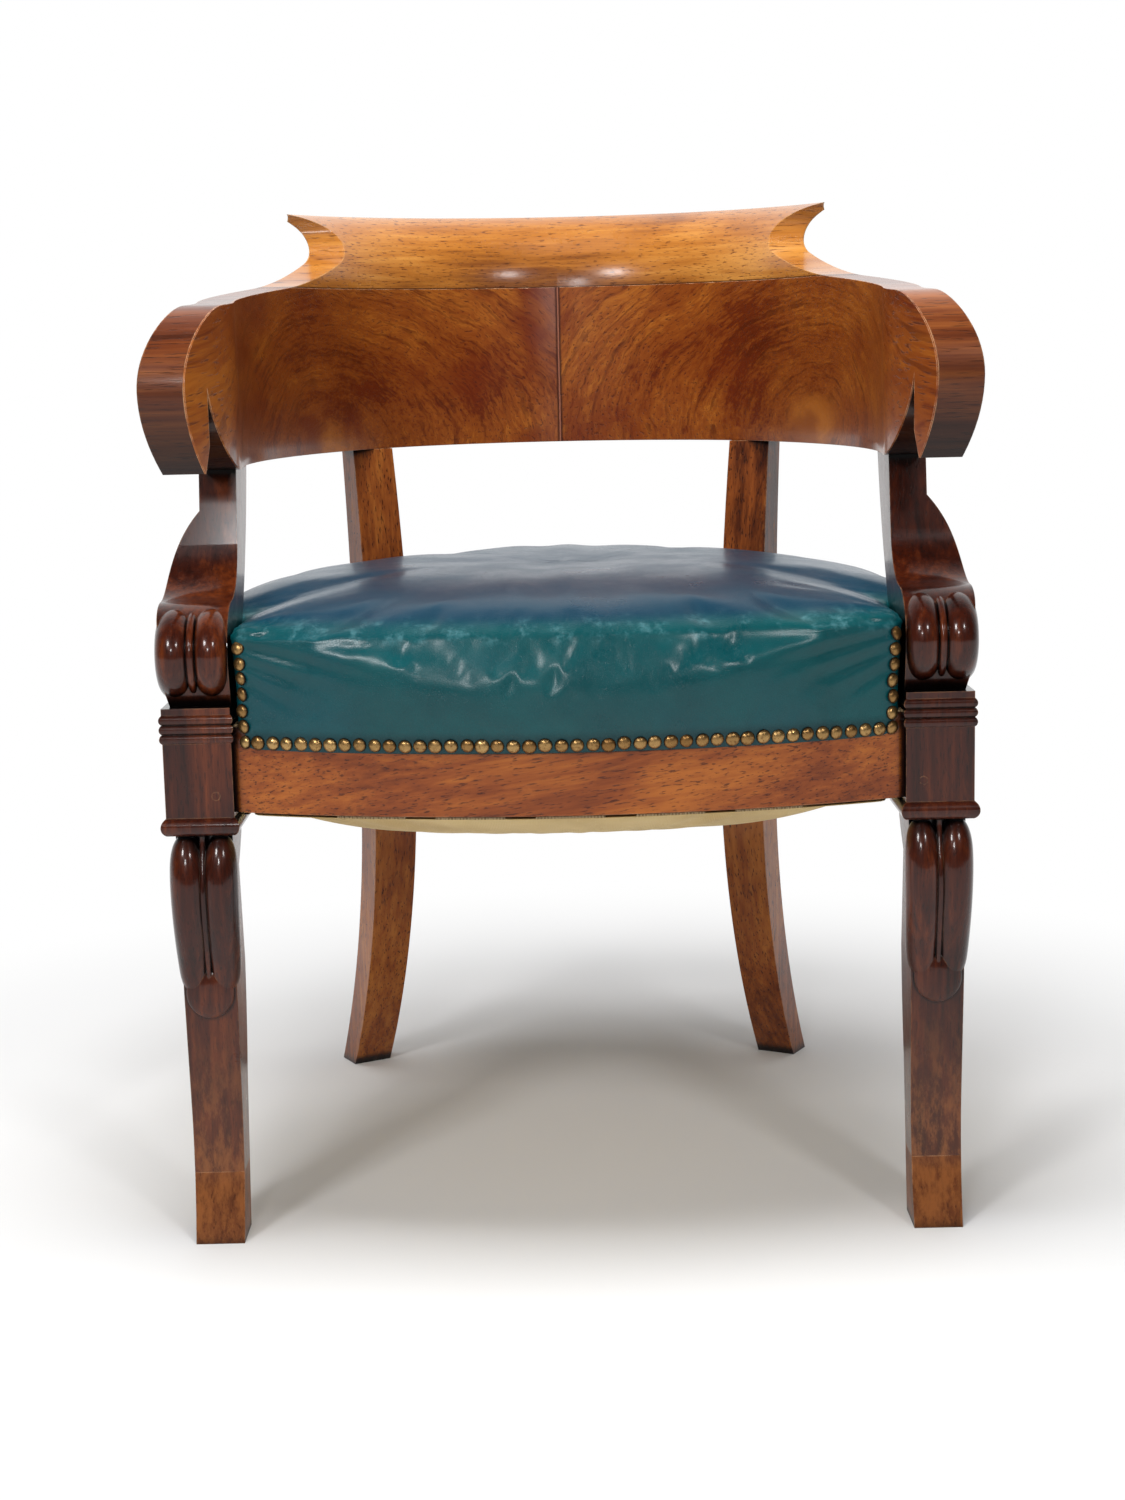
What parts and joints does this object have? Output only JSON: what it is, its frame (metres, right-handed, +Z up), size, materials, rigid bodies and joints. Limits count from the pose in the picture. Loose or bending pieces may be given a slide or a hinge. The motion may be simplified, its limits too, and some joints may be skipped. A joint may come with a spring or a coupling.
{
  "type": "gondola armchair",
  "caption": "Gondola desk armchair with a curved wooden back on scrolled arms, carved console supports, sabre rear legs and a close-nailed stuffed leather seat.",
  "frame": {"origin": "on the floor under the middle of the chair's overall box", "axes": "+X to the viewer's right seen from the front, +Y from front to back, +Z up"},
  "size_m": [0.5984, 0.6029, 0.778],
  "materials": {
    "mahogany_carved": "french polished, dark",
    "mahogany_spliced": "french polished, worn",
    "mahogany_board": "french polished",
    "mahogany_veneer": "french polished figured veneer",
    "rail_wood": "plain unpolished hardwood",
    "seat_leather": "aniline, semi-gloss",
    "nail_brass": "antiqued",
    "calico": "plain weave",
    "jute": "coarse weave",
    "horsehair": "matted",
    "spring_steel": "coppered wire"
  },
  "bodies": {
    "root": {"front_leg_left": "mahogany_carved", "front_leg_right": "mahogany_carved", "arm_support_left": "mahogany_carved", "arm_support_right": "mahogany_carved", "rear_leg_left": "mahogany_carved", "rear_leg_right": "mahogany_carved", "foot_tip_left": "mahogany_spliced", "foot_tip_right": "mahogany_spliced", "back_board_left": "mahogany_board", "back_board_right": "mahogany_board", "crest_rail": "mahogany_board", "back_veneer_left": "mahogany_veneer", "back_veneer_right": "mahogany_veneer", "front_rail_veneer": "mahogany_veneer", "front_rail": "rail_wood", "side_rail_left": "rail_wood", "side_rail_right": "rail_wood", "back_seat_rail": "rail_wood", "corner_blocks": "rail_wood", "joint_pegs": "rail_wood", "leather_cover": "seat_leather", "brass_nails": "nail_brass", "dust_cover": "calico", "webbing_straps": "jute", "spring_hessian": "jute", "stuffing_pad": "horsehair", "seat_springs": "spring_steel", "cover_tacks": "spring_steel"}
  },
  "joints": []
}
